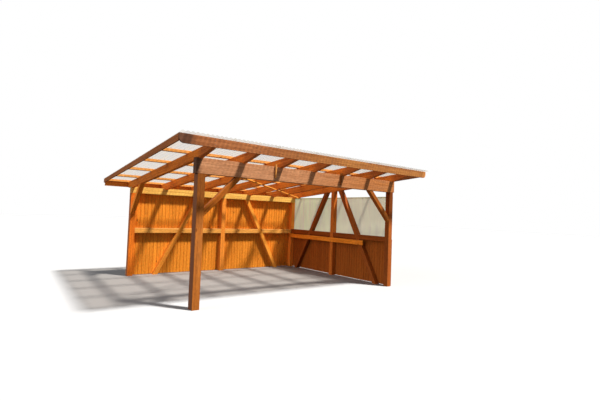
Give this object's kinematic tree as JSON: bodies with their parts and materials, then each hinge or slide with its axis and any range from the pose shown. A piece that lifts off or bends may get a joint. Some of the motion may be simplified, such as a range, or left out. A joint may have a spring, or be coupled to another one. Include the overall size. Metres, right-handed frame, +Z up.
{
  "type": "timber garden shelter",
  "caption": "Lean-to timber garden shelter with a corrugated translucent roof, an open front, a boarded back wall and a half-boarded side with a windbreak.",
  "frame": {"origin": "on the ground under the middle of the roof sheets", "axes": "+X along the front beam, from left to right as seen from the open front; +Y from the open front to the boarded back wall; +Z up"},
  "size_m": [5.935, 4.8728, 2.7374],
  "materials": {
    "stained_timber": "orange-brown stained sawn softwood, satin",
    "weathered_timber": "sun-bleached stained softwood, matt",
    "wall_boards": "stained vertical softwood boards, matt",
    "roof_sheet": "translucent white corrugated plastic sheet",
    "windbreak_film": "hazy translucent plastic film"
  },
  "bodies": {
    "root": {"back_boards_left": "wall_boards", "back_boards_right": "wall_boards", "back_plate": "stained_timber", "back_rail": "stained_timber", "barge_board_left": "weathered_timber", "barge_board_right": "weathered_timber", "beam_cleats": "stained_timber", "brace_back_left": "stained_timber", "brace_back_right": "stained_timber", "brace_right_back": "stained_timber", "brace_right_front": "stained_timber", "eaves_fascia": "weathered_timber", "front_beam": "weathered_timber", "front_fascia": "weathered_timber", "inside_board": "stained_timber", "knee_front_left": "stained_timber", "knee_front_right": "stained_timber", "knee_left_side": "stained_timber", "post_back_left": "stained_timber", "post_back_middle": "stained_timber", "post_back_right": "stained_timber", "post_front_left": "stained_timber", "post_front_right": "stained_timber", "post_right_middle": "stained_timber", "purlin_1": "stained_timber", "purlin_2": "stained_timber", "purlin_3": "stained_timber", "purlin_4": "stained_timber", "purlin_5": "stained_timber", "rafter_1": "stained_timber", "rafter_2": "stained_timber", "rafter_3": "stained_timber", "rafter_4": "stained_timber", "rafter_5": "stained_timber", "rafter_6": "stained_timber", "rafter_7": "stained_timber", "right_boards_back": "wall_boards", "right_boards_front": "wall_boards", "right_rail": "stained_timber", "roof_sheet_1": "roof_sheet", "roof_sheet_2": "roof_sheet", "roof_sheet_3": "roof_sheet", "roof_sheet_4": "roof_sheet", "roof_sheet_5": "roof_sheet", "roof_sheet_6": "roof_sheet", "roof_sheet_7": "roof_sheet", "wind_brace": "stained_timber", "windbreak_back": "windbreak_film", "windbreak_front": "windbreak_film"}
  },
  "joints": []
}
